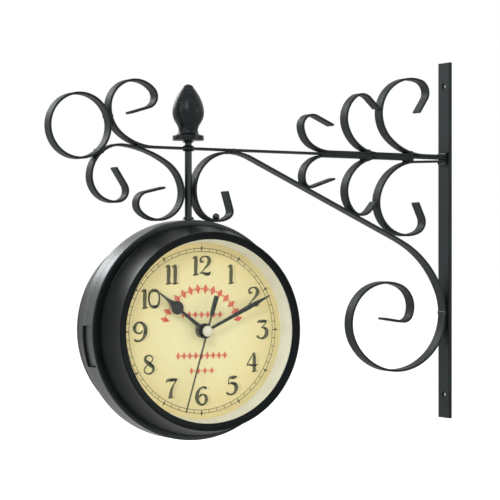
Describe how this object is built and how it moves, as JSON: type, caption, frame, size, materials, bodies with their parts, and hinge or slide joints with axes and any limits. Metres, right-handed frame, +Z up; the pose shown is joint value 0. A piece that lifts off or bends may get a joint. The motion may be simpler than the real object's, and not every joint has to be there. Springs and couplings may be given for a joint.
{
  "type": "double sided bracket clock",
  "caption": "Round two-faced station clock hung by a swivel rod under a scrolled flat-iron wall bracket with an acorn finial, a ring and a drilled wall plate.",
  "frame": {"origin": "centre of the wall plate's back face, on the wall", "axes": "+X into the wall, -X out along the bracket, +Z up, the two dials facing -Y (front) and +Y (rear)"},
  "size_m": [0.3829, 0.0936, 0.3276],
  "materials": {
    "black_paint": "satin black paint",
    "cast_black": "black painted casting",
    "black_screw": "black",
    "glass": "clear glass",
    "dial_print": "printed antique cream",
    "ivory": "ivory",
    "movement_black": "moulded black",
    "white_gear": "moulded white",
    "battery_wrap": "plain wrap",
    "copper_wire": "enamelled copper winding",
    "iron_core": "soft iron",
    "hand_paint": "dark grey-green paint",
    "pale_cap": "satin pale metal",
    "zinc": "zinc plated"
  },
  "bodies": {
    "bracket": {"brace_scroll": "black_paint", "finial": "cast_black", "hanger_nut": "black_paint", "hanger_rod": "black_paint", "hanger_washer": "zinc", "lock_screw": "black_screw", "lower_large_scroll": "black_paint", "lower_medium_scroll": "black_paint", "lower_small_scroll": "black_paint", "ring": "black_paint", "rod_collar": "black_paint", "s_scroll": "black_paint", "top_bar": "black_paint", "upper_large_scroll": "black_paint", "upper_medium_scroll": "black_paint", "upper_small_scroll": "black_paint", "wall_plate": "black_paint", "weld_beads": "black_paint"},
    "case": {"dial_nuts": "black_screw", "dial_washers": "zinc", "drum_joining_band": "black_paint", "front_battery": "battery_wrap", "front_bezel": "black_paint", "front_dial": "dial_print", "front_drum_shell": "black_paint", "front_lens": "glass", "front_motor_coil": "copper_wire", "front_motor_stator": "iron_core", "front_movement_cover": "movement_black", "front_movement_housing": "movement_black", "front_rehaut": "ivory", "rear_battery": "battery_wrap", "rear_bezel": "black_paint", "rear_dial": "dial_print", "rear_drum_shell": "black_paint", "rear_lens": "glass", "rear_motor_coil": "copper_wire", "rear_motor_stator": "iron_core", "rear_movement_cover": "movement_black", "rear_movement_housing": "movement_black", "rear_rehaut": "ivory"},
    "front_hour": {"front_hour_wheel": "white_gear", "front_hour_hand": "hand_paint"},
    "front_minute": {"front_minute_wheel": "white_gear", "front_minute_hand": "hand_paint"},
    "front_second": {"front_second_wheel": "white_gear", "front_second_hand": "hand_paint", "front_hand_cap": "pale_cap"},
    "front_setting": {"front_setting_knob": "white_gear"},
    "rear_hour": {"rear_hour_wheel": "white_gear", "rear_hour_hand": "hand_paint"},
    "rear_minute": {"rear_minute_wheel": "white_gear", "rear_minute_hand": "hand_paint"},
    "rear_second": {"rear_second_wheel": "white_gear", "rear_second_hand": "hand_paint", "rear_hand_cap": "pale_cap"},
    "rear_setting": {"rear_setting_knob": "white_gear"},
    "hatch": {"hatch_cover": "black_paint"}
  },
  "joints": [
    {"name": "clock_swivel", "type": "hinge", "parent": "bracket", "child": "case", "pos_m": [-0.2551, 0, -0.07595], "axis": [0, 0, 1], "continuous": true},
    {"name": "hatch_pull", "type": "slide", "parent": "case", "child": "hatch", "axis": [-0.9905, 0, -0.1374], "range_m": [0, 0.025]},
    {"name": "front_minute_turn", "type": "hinge", "parent": "case", "child": "front_minute", "pos_m": [-0.2551, 0, -0.07595], "axis": [0, 1, 0], "continuous": true},
    {"name": "front_hour_turn", "type": "hinge", "parent": "case", "child": "front_hour", "pos_m": [-0.2551, 0, -0.07595], "axis": [0, 1, 0], "continuous": true},
    {"name": "front_second_turn", "type": "hinge", "parent": "case", "child": "front_second", "pos_m": [-0.2551, 0, -0.07595], "axis": [0, 1, 0], "continuous": true},
    {"name": "front_setting_turn", "type": "hinge", "parent": "case", "child": "front_setting", "pos_m": [-0.2551, 0, -0.06385], "axis": [0, 1, 0], "continuous": true},
    {"name": "rear_minute_turn", "type": "hinge", "parent": "case", "child": "rear_minute", "pos_m": [-0.2551, 0, -0.07595], "axis": [0, -1, 0], "continuous": true},
    {"name": "rear_hour_turn", "type": "hinge", "parent": "case", "child": "rear_hour", "pos_m": [-0.2551, 0, -0.07595], "axis": [0, -1, 0], "continuous": true},
    {"name": "rear_second_turn", "type": "hinge", "parent": "case", "child": "rear_second", "pos_m": [-0.2551, 0, -0.07595], "axis": [0, -1, 0], "continuous": true},
    {"name": "rear_setting_turn", "type": "hinge", "parent": "case", "child": "rear_setting", "pos_m": [-0.2551, 0, -0.06385], "axis": [0, -1, 0], "continuous": true}
  ],
  "couplings": [
    {"joint": "front_hour_turn", "follows": "front_minute_turn", "ratio": 0.083333},
    {"joint": "front_setting_turn", "follows": "front_minute_turn", "ratio": -0.33333},
    {"joint": "rear_hour_turn", "follows": "rear_minute_turn", "ratio": 0.083333},
    {"joint": "rear_setting_turn", "follows": "rear_minute_turn", "ratio": -0.33333}
  ]
}
